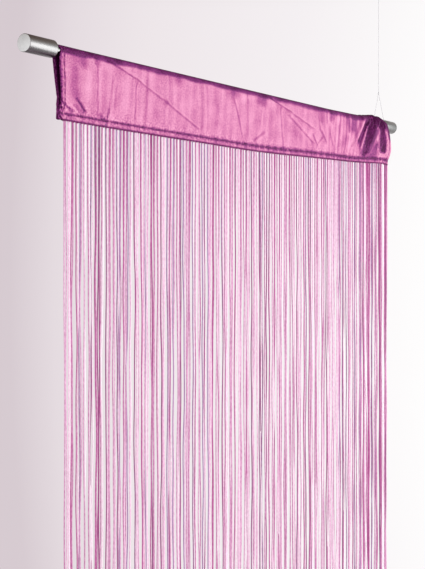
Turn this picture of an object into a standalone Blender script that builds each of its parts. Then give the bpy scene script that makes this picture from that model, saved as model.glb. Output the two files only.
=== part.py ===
"""String curtain on its rod, in metres, +Z up, +X along the rod, front towards -Y.

The origin is on the rod's axis, half way along it. A satin heading is a wide sleeve round a thin rod,
closed by a narrow sewn band. Strings hang from a strip under the band. A cylinder closes each end of the
rod, and a nylon line is slung round the right-hand one, where the heading is pushed together in deep folds.
"""

import math
from collections import namedtuple

import bmesh
import bpy

GAP = 0.0003
ROUND_GAP = 0.00036

ROD_RADIUS = 0.005
ROD_SIDES = 20
HALF_SPAN = 0.5
FINIAL_RADIUS = 0.0114
FINIAL_LENGTH = 0.056
FINIAL_BORE_DEPTH = 0.020
FINIAL_SIDES = 24
OUTER_CHAMFER = 0.0008
INNER_ROUND = 0.0016
ROUND_STEPS = 3

CLOTH = 0.001
BAND_HALF = 0.0012
BAND_HEIGHT = 0.009
SEAM_CLEAR = 0.0016
PANEL_CLEAR = 0.0004
ARC_SHARE = 0.18
BAND_SHARE = 0.12
ARC_STEPS = 3
PANEL_STEPS = 6
LEAST_ROOM = 0.00003
LEFT_DECAY = 0.03
LEFT_COLUMN = -0.430
RIGHT_END = 0.482
COLUMN_STEP = 0.012
FINE_FROM = 0.325
FINE_STEP = 0.0082

STRAND_COUNT = 240
STRAND_WIDTH = 0.0011
STRAND_LENGTH = 2.404
STRIP_GAP = 0.00035
STRIP_HEIGHT = 0.002
STRIP_HALF = 0.0007
FIRST_PAIR = -0.4255
LAST_PAIR = 0.4755
STRAND_RINGS = (0.6, STRAND_LENGTH)
PAIR_HALF = 0.00075
PAIR_DEPTH = 0.0014
STRAY_DEPTH = 0.3

# Waves that set the pairs of strands off their even pitch: how far, the turn from one pair to the next, where
# the wave starts, and how far it turns on from the roots to the tips. The split is between a pair's strands.
Wave = namedtuple("Wave", "reach turn start drift")
WANDER_WAVES = (Wave(0.0019, 2.41, 0.0, 1.5), Wave(0.0012, 0.93, 2.0, -2.2))
LEAN_WAVE = Wave(0.0024, 0.342, 0.6, 0.0)
SPLIT_WAVE = Wave(0.0004, 1.93, 1.0, 2.0)
ACROSS_WAVE = Wave(0.0022, 0.74, 1.0, 0.0)

LINE_RADIUS = 0.0004
LINE_X = 0.4465
KNOT_HEIGHT = 0.0588
KNOT_RADIUS = 0.0013
KNOT_HALF_LENGTH = 0.0022
EYE_KNOT_HEIGHT = 0.244
EYE_CENTRE = 0.259
EYE_RADIUS = 0.0055
RISER_STEPS = 8
SLING_STEPS = 24
EYE_STEPS = 12
LEG_SHARES = (0.4, 0.75)
BEAD_SIDES = 8
BEAD_STEPS = 5

# The sleeve's section at stations along the band: top and half depth over the rod, height of the band's
# lower edge, how full the panels are (a high belly keeps them apart until just above the band), and how far
# the band sways to the back.
Station = namedtuple("Station", "x top half bottom belly sway")
STATIONS = (
    Station(-0.439, 0.0068, 0.0066, -0.0868, 4.0, 0.0),
    Station(-0.400, 0.0066, 0.0066, -0.0870, 2.6, -0.0006),
    Station(-0.330, 0.0066, 0.0066, -0.0870, 1.8, 0.0004),
    Station(-0.240, 0.0066, 0.0066, -0.0868, 1.8, 0.0008),
    Station(-0.120, 0.0066, 0.0066, -0.0865, 1.8, -0.0004),
    Station(0.010, 0.0066, 0.0066, -0.0860, 1.8, 0.0005),
    Station(0.100, 0.0066, 0.0066, -0.0840, 1.8, 0.0),
    Station(0.200, 0.0066, 0.0066, -0.0808, 1.8, -0.0008),
    Station(0.290, 0.0066, 0.0066, -0.0778, 1.9, 0.0006),
    Station(0.340, 0.0070, 0.0072, -0.0762, 2.0, 0.0014),
    Station(0.372, 0.0096, 0.0098, -0.0750, 2.0, -0.0010),
    Station(0.408, 0.0126, 0.0126, -0.0729, 2.0, 0.0018),
    Station(0.430, 0.0106, 0.0138, -0.0716, 2.0, 0.0004),
    Station(0.452, 0.0124, 0.0142, -0.0706, 2.0, -0.0014),
    Station(0.468, 0.0112, 0.0144, -0.0709, 2.0, -0.0020),
    Station(0.482, 0.0125, 0.0146, -0.0716, 2.2, -0.0022),
)

# Where a station of the band lies at the top of the sleeve: the cloth is pushed together there, left of the
# line.
Gather = namedtuple("Gather", "x top_x")
GATHER = (
    Gather(0.250, 0.250),
    Gather(0.300, 0.304),
    Gather(0.340, 0.354),
    Gather(0.372, 0.387),
    Gather(0.400, 0.408),
    Gather(0.430, 0.4245),
    Gather(0.455, 0.4340),
    Gather(0.482, 0.4425),
)

# Share of that push left at each part of the way down from the sleeve's top, 0, to the band's lower edge, 1.
Ease = namedtuple("Ease", "way share")
EASE = (
    Ease(0.0, 1.0),
    Ease(0.125, 1.0),
    Ease(0.19, 0.68),
    Ease(0.34, 0.46),
    Ease(0.52, 0.26),
    Ease(0.68, 0.05),
    Ease(0.88, 0.0),
    Ease(1.0, 0.0),
)

# The left-hand mouth's edge on the way down.
Mouth = namedtuple("Mouth", "way x")
MOUTH = (
    Mouth(0.0, -0.4434),
    Mouth(0.20, -0.4434),
    Mouth(0.42, -0.4400),
    Mouth(0.62, -0.4376),
    Mouth(0.76, -0.4349),
    Mouth(0.84, -0.4342),
    Mouth(0.90, -0.4386),
    Mouth(1.0, -0.4390),
)

# Main folds: where each starts and ends on its panel, its half width, and how far it stands out, or in where
# the height is below 0.
Fold = namedtuple("Fold", "side x_top z_top x_end z_end half_width height")
FOLDS = (
    Fold("front", -0.409, -0.022, -0.409, -0.058, 0.016, -0.0026),
    Fold("front", -0.372, -0.006, -0.364, -0.074, 0.012, 0.0018),
    Fold("front", -0.338, -0.004, -0.280, -0.020, 0.012, 0.0022),
    Fold("front", -0.280, -0.020, -0.219, -0.039, 0.012, 0.0022),
    Fold("front", -0.219, -0.039, -0.139, -0.068, 0.012, 0.0022),
    Fold("front", -0.342, -0.030, -0.338, -0.074, 0.012, -0.0016),
    Fold("front", -0.266, -0.018, -0.282, -0.070, 0.012, -0.0014),
    Fold("front", -0.212, -0.006, -0.208, -0.030, 0.012, 0.0016),
    Fold("front", -0.128, -0.008, -0.120, -0.060, 0.014, 0.0018),
    Fold("front", -0.051, -0.006, -0.019, -0.068, 0.013, 0.0024),
    Fold("front", -0.010, -0.018, 0.006, -0.066, 0.013, -0.0018),
    Fold("front", 0.058, -0.002, 0.118, -0.015, 0.012, 0.0024),
    Fold("front", 0.118, -0.015, 0.192, -0.034, 0.012, 0.0024),
    Fold("front", 0.090, -0.018, 0.199, -0.055, 0.013, -0.0020),
    Fold("front", 0.070, -0.030, 0.106, -0.066, 0.013, 0.0016),
    Fold("front", 0.210, -0.004, 0.240, -0.054, 0.013, 0.0024),
    Fold("front", 0.270, -0.018, 0.262, -0.055, 0.014, -0.0020),
    Fold("front", 0.322, -0.004, 0.306, -0.052, 0.013, 0.0016),
    Fold("front", 0.372, 0.004, 0.340, -0.050, 0.008, 0.0036),
    Fold("front", 0.386, -0.009, 0.358, -0.056, 0.009, -0.0052),
    Fold("front", 0.414, 0.004, 0.390, -0.056, 0.010, 0.0058),
    Fold("front", 0.430, -0.004, 0.438, -0.050, 0.008, -0.0056),
    Fold("front", 0.447, 0.002, 0.464, -0.052, 0.009, 0.0026),
    Fold("back", -0.390, -0.010, -0.380, -0.070, 0.014, 0.0020),
    Fold("back", -0.300, -0.018, -0.330, -0.066, 0.014, -0.0018),
    Fold("back", -0.200, -0.006, -0.150, -0.066, 0.014, 0.0022),
    Fold("back", -0.080, -0.018, -0.060, -0.070, 0.014, -0.0018),
    Fold("back", 0.030, -0.006, 0.120, -0.058, 0.014, 0.0022),
    Fold("back", 0.180, -0.018, 0.170, -0.062, 0.014, -0.0018),
    Fold("back", 0.280, -0.004, 0.260, -0.056, 0.013, 0.0022),
    Fold("back", 0.368, 0.002, 0.340, -0.050, 0.010, 0.0034),
    Fold("back", 0.394, -0.009, 0.374, -0.054, 0.010, -0.0044),
    Fold("back", 0.422, 0.002, 0.410, -0.052, 0.010, 0.0048),
    Fold("back", 0.432, -0.004, 0.444, -0.050, 0.008, -0.0030),
)
FOLD_FADE = 0.012

SHARP_ANGLE = 40
CLOTH_SHARP_ANGLE = 75
SATIN = ("satin", (0.78, 0.24, 0.50), 0.38, 0.0)
STRING = ("string", (0.80, 0.36, 0.58), 0.55, 0.0)
STEEL = ("brushed_metal", (0.62, 0.61, 0.62), 0.32, 1.0)
NYLON = ("clear_nylon", (0.90, 0.90, 0.92), 0.15, 0.0)


def clear_scene():
    for thing in list(bpy.data.objects):
        bpy.data.objects.remove(thing, do_unlink=True)


def material(name, colour, roughness, metallic):
    found = bpy.data.materials.get(name)
    if found:
        return found
    made = bpy.data.materials.new(name)
    made.use_nodes = True
    shader = made.node_tree.nodes["Principled BSDF"]
    shader.inputs["Base Color"].default_value = (*colour, 1.0)
    shader.inputs["Roughness"].default_value = roughness
    shader.inputs["Metallic"].default_value = metallic
    return made


def add_object(name, data, finish):
    data.materials.append(material(*finish))
    made = bpy.data.objects.new(name, data)
    bpy.context.scene.collection.objects.link(made)
    return made


def mesh_from(name, points, faces, sharp_angle=SHARP_ANGLE):
    mesh = bpy.data.meshes.new(name)
    bm = bmesh.new()
    corners = [bm.verts.new(point) for point in points]
    for face in faces:
        bm.faces.new([corners[index] for index in face])
    bmesh.ops.recalc_face_normals(bm, faces=bm.faces)
    bm.to_mesh(mesh)
    bm.free()
    mesh.shade_smooth()
    mesh.set_sharp_from_angle(angle=math.radians(sharp_angle))
    return mesh


def smooth_value(rows, at, column):
    """Column of a table whose first column rises, on a smooth curve through its rows."""
    at = min(max(at, rows[0][0]), rows[-1][0])
    last = len(rows) - 1
    i = max(k for k in range(last) if rows[k][0] <= at)

    def slope(k):
        low, high = rows[max(k - 1, 0)], rows[min(k + 1, last)]
        return (high[column] - low[column]) / (high[0] - low[0])

    step = rows[i + 1][0] - rows[i][0]
    t = (at - rows[i][0]) / step
    start, end = rows[i][column], rows[i + 1][column]
    bend = t * (1 - t) * ((1 - t) * (slope(i) * step - end + start) + t * (end - start - slope(i + 1) * step))
    return start + t * (end - start) + bend


def even_value(rows, at, column):
    """The same on straight lines between the rows, for a table with corners."""
    at = min(max(at, rows[0][0]), rows[-1][0])
    i = max(k for k in range(len(rows) - 1) if rows[k][0] <= at)
    t = (at - rows[i][0]) / (rows[i + 1][0] - rows[i][0])
    return rows[i][column] + t * (rows[i + 1][column] - rows[i][column])


def station(x):
    return Station(x, *(smooth_value(STATIONS, x, column) for column in range(1, len(Station._fields))))


def shifted_x(x, way):
    """X on the cloth at a part of the way down, for a point that is at x on the band."""
    push = smooth_value(GATHER, x, 1) - x if x > GATHER[0].x else 0.0
    mouth = even_value(MOUTH, way, 1) - MOUTH[-1].x
    near_left = max(0.0, 1 - (x - MOUTH[-1].x) / LEFT_DECAY)
    return x + push * even_value(EASE, way, 1) + mouth * near_left


def fold_height(side, x, z):
    total = 0.0
    for fold in FOLDS:
        beyond = max(z - fold.z_top, fold.z_end - z, 0.0) / FOLD_FADE
        if fold.side != side or beyond > 1:
            continue
        along = min(max((fold.z_top - z) / (fold.z_top - fold.z_end), 0.0), 1.0)
        across = (x - fold.x_top - along * (fold.x_end - fold.x_top)) / fold.half_width
        total += fold.height * math.exp(-across * across) * (1 - beyond) ** 2
    return total


def section_ways(with_band):
    """Parts of the way down at which a section has points, from the top."""
    ways = [ARC_SHARE * k / ARC_STEPS for k in range(ARC_STEPS + 1)]
    panel = 1 - ARC_SHARE - BAND_SHARE
    ways += [ARC_SHARE + panel * k / PANEL_STEPS for k in range(1, PANEL_STEPS + 1)]
    return ways + [1.0] if with_band else ways


def section_point(shape, x, way, side, inset):
    """Point of the sleeve at a part of the way down one side: inset 0 is its outer face.

    An inward fold comes to rest against the other panel.
    """
    seam = shape.bottom + BAND_HEIGHT
    out = -1 if side == "front" else 1
    half = shape.half - inset
    seat = 0.0 if inset else BAND_HALF
    seam_z = seam + (SEAM_CLEAR if inset else 0.0)
    if way <= ARC_SHARE:
        angle = math.pi / 2 * way / ARC_SHARE
        depth, z = half * math.sin(angle), (shape.top - inset) * math.cos(angle)
    elif way <= 1 - BAND_SHARE:
        down = (way - ARC_SHARE) / (1 - ARC_SHARE - BAND_SHARE)
        depth, z = seat + (half - seat) * (1 - down ** shape.belly), seam_z * down
    else:
        down = (way - 1 + BAND_SHARE) / BAND_SHARE
        depth, z = BAND_HALF, seam + (shape.bottom - seam) * down
    place = shifted_x(x, way)
    drop = max(0.0, -z) / -shape.bottom
    fade = 1 - min(1.0, max(0.0, (seam + FOLD_FADE - z) / FOLD_FADE)) ** 2
    fold = fold_height(side, place, z) * max(0.0, fade) * min(1.0, way / ARC_SHARE)
    if fold < 0:
        room = max(depth - PANEL_CLEAR - CLOTH + inset, LEAST_ROOM)
        fold = room * (math.exp(fold / room) - 1)
    return (place, out * (depth + fold) + shape.sway * drop * drop, z)


def heading_columns():
    """Places along the band, closer together at the mouth and where the cloth is gathered."""
    places = [MOUTH[-1].x, LEFT_COLUMN]
    while places[-1] < FINE_FROM:
        places.append(places[-1] + COLUMN_STEP)
    fine = round((RIGHT_END - places[-1]) / FINE_STEP)
    start = places[-1]
    return places + [start + (RIGHT_END - start) * k / fine for k in range(1, fine + 1)]


def heading():
    outer_ways, inner_ways = section_ways(True), section_ways(False)[:-1]
    outer_sides = [("back", way) for way in reversed(outer_ways)] + [("front", way) for way in outer_ways[1:]]
    inner_sides = [("back", way) for way in reversed(inner_ways)] + [("front", way) for way in inner_ways[1:]]
    points = []
    columns = heading_columns()
    outer_count, inner_count = len(outer_sides), len(inner_sides) + 1
    for x in columns:
        shape = station(x)
        points += [section_point(shape, x, way, side, 0.0) for side, way in outer_sides]
        points.append(section_point(shape, x, 1 - BAND_SHARE, "back", CLOTH))
        points += [section_point(shape, x, way, side, CLOTH) for side, way in inner_sides]
    ring = outer_count + inner_count
    faces = []
    for column in range(len(columns) - 1):
        here, there = column * ring, (column + 1) * ring
        for first, count in ((0, outer_count), (outer_count, inner_count)):
            for k in range(count):
                a, b = first + k, first + (k + 1) % count
                faces.append((here + a, here + b, there + b, there + a))
    for start in (0, (len(columns) - 1) * ring):
        faces += mouth_faces(start, outer_count, inner_count)
    return add_object("heading", mesh_from("heading", points, faces, CLOTH_SHARP_ANGLE), SATIN)


def mouth_faces(start, outer_count, inner_count):
    """Faces between the outer and the inner ring at one end of the sleeve, the band's end among them."""
    seam = start + outer_count
    faces = []
    for k in range(inner_count - 2):
        outer, inner = start + 2 + k, seam + 1 + k
        faces.append((outer, outer + 1, inner + 1, inner))
    last_outer, last_inner = start + outer_count - 1, seam + inner_count - 1
    faces.append((start + 1, start + 2, seam + 1, seam))
    faces.append((last_outer - 1, last_outer - 2, last_inner, seam))
    faces.append((start, start + 1, seam))
    faces.append((last_outer, last_outer - 1, seam))
    faces.append((start, seam, last_outer))
    return faces


def wave(row, pair, slow):
    return row.reach * math.sin(pair * row.turn + row.start + row.drift * slow)


def strand_place(index, depth):
    """Where a strand is at a depth under its root: X along the curtain, and how far it strays across it.

    The strands leave the band in pairs, and the pairs wander into looser and closer groups on the way down.
    """
    slow = depth / STRAND_LENGTH
    free = min(1.0, depth / STRAY_DEPTH)
    pair, side = index // 2, 2 * (index % 2) - 1
    x = FIRST_PAIR + (LAST_PAIR - FIRST_PAIR) * pair / (STRAND_COUNT // 2 - 1)
    x += free * sum(wave(row, pair, slow) for row in WANDER_WAVES) + slow * wave(LEAN_WAVE, pair, slow)
    x += side * (PAIR_HALF + free * (SPLIT_WAVE.reach + wave(SPLIT_WAVE, pair, slow)))
    return x, side * free * PAIR_DEPTH + slow * wave(ACROSS_WAVE, pair, slow)


def string_fringe():
    points, faces = [], []
    half = STRAND_WIDTH / 2
    stride = 8 + 4 * len(STRAND_RINGS)
    for index in range(STRAND_COUNT):
        x, _ = strand_place(index, 0.0)
        shape = station(x)
        root = shape.bottom - STRIP_GAP - STRIP_HEIGHT
        for z, reach in ((root + STRIP_HEIGHT, STRIP_HALF), (root, STRIP_HALF)):
            for dx, dy in ((-half, -reach), (half, -reach), (half, reach), (-half, reach)):
                points.append((x + dx, shape.sway + dy, z))
        for depth in STRAND_RINGS:
            low_x, stray = strand_place(index, depth)
            for dx, dy in ((-half, -half), (half, -half), (half, half), (-half, half)):
                points.append((low_x + dx, shape.sway + stray + dy, root - depth))
        base = stride * index
        faces.append((base, base + 1, base + 2, base + 3))
        faces.append((base, base + 1, base + 5, base + 4))
        faces.append((base + 2, base + 3, base + 7, base + 6))
        for ring in range(len(STRAND_RINGS)):
            low = base + 4 + 4 * ring
            for k in range(4):
                faces.append((low + k, low + (k + 1) % 4, low + 4 + (k + 1) % 4, low + 4 + k))
        tip = base + stride - 4
        faces.append((tip, tip + 1, tip + 2, tip + 3))
        if index == 0:
            faces.append((base + 3, base, base + 4, base + 7))
        if index < STRAND_COUNT - 1:
            after = base + stride
            faces.append((base + 1, after, after + 3, base + 2))
            faces.append((base + 1, after, after + 4, base + 5))
            faces.append((base + 2, after + 3, after + 7, base + 6))
            faces.append((base + 5, after + 4, after + 7, base + 6))
        else:
            faces.append((base + 1, base + 2, base + 6, base + 5))
    return add_object("string_fringe", mesh_from("string_fringe", points, faces), STRING)


def turned(name, profile, sides, finish, upright=False, place=(0.0, 0.0, 0.0)):
    """Solid turned about X, or Z if upright, from (along, radius) points that start and end on the axis."""
    points, faces = [], []
    inner = profile[1:-1]

    def spot(along, radius, angle):
        first, second = radius * math.cos(angle), radius * math.sin(angle)
        step = (first, second, along) if upright else (along, first, second)
        return tuple(a + b for a, b in zip(place, step))

    points.append(spot(profile[0][0], 0.0, 0.0))
    for along, radius in inner:
        points += [spot(along, radius, 2 * math.pi * k / sides) for k in range(sides)]
    points.append(spot(profile[-1][0], 0.0, 0.0))
    for k in range(sides):
        after = (k + 1) % sides
        faces.append((0, 1 + k, 1 + after))
        for ring in range(len(inner) - 1):
            low, high = 1 + ring * sides, 1 + (ring + 1) * sides
            faces.append((low + k, low + after, high + after, high + k))
        top = 1 + (len(inner) - 1) * sides
        faces.append((top + k, top + after, len(points) - 1))
    return add_object(name, mesh_from(name, points, faces), finish)


def rod():
    end = HALF_SPAN - FINIAL_LENGTH + FINIAL_BORE_DEPTH - GAP
    turned("rod", ((-end, 0.0), (-end, ROD_RADIUS), (end, ROD_RADIUS), (end, 0.0)), ROD_SIDES, STEEL)


def finial(name, out):
    """End cylinder: out is -1 at the left and 1 at the right. Its bore takes the rod's end."""
    face, back = HALF_SPAN, HALF_SPAN - FINIAL_LENGTH
    profile = [(face, 0.0), (face, FINIAL_RADIUS - OUTER_CHAMFER), (face - OUTER_CHAMFER, FINIAL_RADIUS)]
    for k in range(ROUND_STEPS + 1):
        angle = math.pi / 2 * k / ROUND_STEPS
        along = back + INNER_ROUND * (1 - math.sin(angle))
        profile.append((along, FINIAL_RADIUS - INNER_ROUND * (1 - math.cos(angle))))
    bore = ROD_RADIUS + ROUND_GAP
    profile += [(back, bore), (back + FINIAL_BORE_DEPTH, bore), (back + FINIAL_BORE_DEPTH, 0.0)]
    turned(name, [(out * along, radius) for along, radius in profile], FINIAL_SIDES, STEEL)


def tube(name, path, radius, finish):
    curve = bpy.data.curves.new(name, "CURVE")
    curve.dimensions = "3D"
    curve.bevel_depth = radius
    curve.bevel_resolution = 2
    curve.use_fill_caps = True
    spline = curve.splines.new("POLY")
    spline.points.add(len(path) - 1)
    for point, place in zip(spline.points, path):
        point.co = (*place, 1.0)
    return add_object(name, curve, finish)


def loop_path(knot, centre, radius, steps):
    """Line from just off a knot round a circle and back. Both are heights in the plane across X."""
    toward = 1 if knot > centre else -1
    distance = abs(knot - centre)
    leg = math.sqrt(distance * distance - radius * radius)
    touch = math.acos(radius / distance)
    leg_path = []
    for share in ((KNOT_HALF_LENGTH + GAP) / leg, *LEG_SHARES):
        y = -radius * math.sin(touch) * share
        leg_path.append((LINE_X, y, knot + toward * (radius * math.cos(touch) - distance) * share))
    turn = []
    for k in range(steps + 1):
        angle = touch + 2 * (math.pi - touch) * k / steps
        turn.append((LINE_X, -radius * math.sin(angle), centre + toward * radius * math.cos(angle)))
    return leg_path + turn + [(x, -y, z) for x, y, z in reversed(leg_path)]


def knot(name, height):
    profile = [(-KNOT_HALF_LENGTH, 0.0)]
    for k in range(1, BEAD_STEPS):
        angle = math.pi * k / BEAD_STEPS
        profile.append((-KNOT_HALF_LENGTH * math.cos(angle), KNOT_RADIUS * math.sin(angle)))
    profile.append((KNOT_HALF_LENGTH, 0.0))
    turned(name, profile, BEAD_SIDES, NYLON, upright=True, place=(LINE_X, 0.0, height))


def hanging_line():
    """Nylon line slung round the right-hand cylinder, knotted above it, and ending in a small tied eye."""
    circle = FINIAL_RADIUS + ROUND_GAP + LINE_RADIUS
    tube("line_sling", loop_path(KNOT_HEIGHT, 0.0, circle, SLING_STEPS), LINE_RADIUS, NYLON)
    knot("line_knot", KNOT_HEIGHT)
    low = KNOT_HEIGHT + KNOT_HALF_LENGTH + GAP
    high = EYE_KNOT_HEIGHT - KNOT_HALF_LENGTH - GAP
    riser = [(LINE_X, 0.0, low + (high - low) * k / RISER_STEPS) for k in range(RISER_STEPS + 1)]
    tube("line_riser", riser, LINE_RADIUS, NYLON)
    knot("line_eye_knot", EYE_KNOT_HEIGHT)
    tube("line_eye", loop_path(EYE_KNOT_HEIGHT, EYE_CENTRE, EYE_RADIUS, EYE_STEPS), LINE_RADIUS, NYLON)


clear_scene()
rod()
finial("finial_left", -1)
finial("finial_right", 1)
heading()
string_fringe()
hanging_line()
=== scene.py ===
import math
from collections import namedtuple

import bpy
import numpy as np
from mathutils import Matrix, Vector

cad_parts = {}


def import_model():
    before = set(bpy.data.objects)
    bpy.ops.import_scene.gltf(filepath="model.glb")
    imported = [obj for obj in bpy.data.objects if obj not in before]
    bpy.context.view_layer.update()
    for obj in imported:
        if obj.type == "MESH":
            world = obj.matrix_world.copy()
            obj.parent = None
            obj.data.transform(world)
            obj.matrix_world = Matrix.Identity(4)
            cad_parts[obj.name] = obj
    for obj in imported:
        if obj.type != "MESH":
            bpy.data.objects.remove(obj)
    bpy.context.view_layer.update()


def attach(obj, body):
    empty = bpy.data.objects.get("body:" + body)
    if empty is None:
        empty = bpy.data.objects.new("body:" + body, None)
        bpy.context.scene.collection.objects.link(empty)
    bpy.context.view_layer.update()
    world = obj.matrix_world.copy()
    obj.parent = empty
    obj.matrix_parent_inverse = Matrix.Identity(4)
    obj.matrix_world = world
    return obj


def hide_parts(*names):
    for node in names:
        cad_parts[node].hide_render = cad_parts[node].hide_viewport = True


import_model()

# Photograph's height in pixels, and the camera that fits it. It looks level and to the right along the rod,
# which would vanish VANISH_PIXELS to the right of the picture's middle.
PHOTO_HEIGHT = 569
FOCAL_PIXELS = 1230.0
VANISH_PIXELS = 852
SENSOR_HEIGHT = 36.0
CAMERA_PLACE = (-1.6053, -1.0464, -0.296)

# The heading's sizes in metres, as in the part. A way goes down the cloth from the top of the sleeve, 0, over
# the rod and down the panel to the band and its lower edge, 1.
BAND_HALF = 0.0012
BAND_HEIGHT = 0.009
ARC_SHARE = 0.18
BAND_SHARE = 0.12
PANEL_SHARE = 1 - ARC_SHARE - BAND_SHARE
LEAST_ROOM = 0.00003
LEFT_DECAY = 0.03
RIGHT_END = 0.482
FOLD_FADE = 0.012

# The sleeve's section at stations along the band, as in the part: top and half depth over the rod, the band's
# lower edge, how full the panels are, and how far the band sways to the back.
Station = namedtuple("Station", "x top half bottom belly sway")
STATIONS = (
    (-0.439, 0.0068, 0.0066, -0.0868, 4.0, 0.0),
    (-0.400, 0.0066, 0.0066, -0.0870, 2.6, -0.0006),
    (-0.330, 0.0066, 0.0066, -0.0870, 1.8, 0.0004),
    (-0.240, 0.0066, 0.0066, -0.0868, 1.8, 0.0008),
    (-0.120, 0.0066, 0.0066, -0.0865, 1.8, -0.0004),
    (0.010, 0.0066, 0.0066, -0.0860, 1.8, 0.0005),
    (0.100, 0.0066, 0.0066, -0.0840, 1.8, 0.0),
    (0.200, 0.0066, 0.0066, -0.0808, 1.8, -0.0008),
    (0.290, 0.0066, 0.0066, -0.0778, 1.9, 0.0006),
    (0.340, 0.0070, 0.0072, -0.0762, 2.0, 0.0014),
    (0.372, 0.0096, 0.0098, -0.0750, 2.0, -0.0010),
    (0.408, 0.0126, 0.0126, -0.0729, 2.0, 0.0018),
    (0.430, 0.0106, 0.0138, -0.0716, 2.0, 0.0004),
    (0.452, 0.0124, 0.0142, -0.0706, 2.0, -0.0014),
    (0.468, 0.0112, 0.0144, -0.0709, 2.0, -0.0020),
    (0.482, 0.0125, 0.0146, -0.0716, 2.2, -0.0022),
)

# X of places on the band and of the same cloth at the top, where it is pushed together, as in the part.
GATHER = (
    (0.250, 0.250), (0.300, 0.304), (0.340, 0.354), (0.372, 0.387), (0.400, 0.408), (0.430, 0.4245),
    (0.455, 0.4340), (0.482, 0.4425),
)

# Main folds, as in the part: where each starts and ends, its half width, and how far it stands out, or in
# where the height is below 0.
Fold = namedtuple("Fold", "x_top z_top x_end z_end half_width height")
FRONT_FOLDS = (
    (-0.409, -0.022, -0.409, -0.058, 0.016, -0.0026),
    (-0.372, -0.006, -0.364, -0.074, 0.012, 0.0018),
    (-0.338, -0.004, -0.28, -0.02, 0.012, 0.0022),
    (-0.28, -0.02, -0.219, -0.039, 0.012, 0.0022),
    (-0.219, -0.039, -0.139, -0.068, 0.012, 0.0022),
    (-0.342, -0.03, -0.338, -0.074, 0.012, -0.0016),
    (-0.266, -0.018, -0.282, -0.07, 0.012, -0.0014),
    (-0.212, -0.006, -0.208, -0.03, 0.012, 0.0016),
    (-0.128, -0.008, -0.12, -0.06, 0.014, 0.0018),
    (-0.051, -0.006, -0.019, -0.068, 0.013, 0.0024),
    (-0.01, -0.018, 0.006, -0.066, 0.013, -0.0018),
    (0.058, -0.002, 0.118, -0.015, 0.012, 0.0024),
    (0.118, -0.015, 0.192, -0.034, 0.012, 0.0024),
    (0.09, -0.018, 0.199, -0.055, 0.013, -0.002),
    (0.07, -0.03, 0.106, -0.066, 0.013, 0.0016),
    (0.21, -0.004, 0.24, -0.054, 0.013, 0.0024),
    (0.27, -0.018, 0.262, -0.055, 0.014, -0.002),
    (0.322, -0.004, 0.306, -0.052, 0.013, 0.0016),
    (0.372, 0.004, 0.34, -0.05, 0.008, 0.0036),
    (0.386, -0.009, 0.358, -0.056, 0.009, -0.0052),
    (0.414, 0.004, 0.39, -0.056, 0.01, 0.0058),
    (0.43, -0.004, 0.438, -0.05, 0.008, -0.0056),
    (0.447, 0.002, 0.464, -0.052, 0.009, 0.0026),
)
BACK_FOLDS = (
    (-0.39, -0.01, -0.38, -0.07, 0.014, 0.002),
    (-0.3, -0.018, -0.33, -0.066, 0.014, -0.0018),
    (-0.2, -0.006, -0.15, -0.066, 0.014, 0.0022),
    (-0.08, -0.018, -0.06, -0.07, 0.014, -0.0018),
    (0.03, -0.006, 0.12, -0.058, 0.014, 0.0022),
    (0.18, -0.018, 0.17, -0.062, 0.014, -0.0018),
    (0.28, -0.004, 0.26, -0.056, 0.013, 0.0022),
    (0.368, 0.002, 0.34, -0.05, 0.01, 0.0034),
    (0.394, -0.009, 0.374, -0.054, 0.01, -0.0044),
    (0.422, 0.002, 0.41, -0.052, 0.01, 0.0048),
    (0.432, -0.004, 0.444, -0.05, 0.008, -0.003),
)

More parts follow.
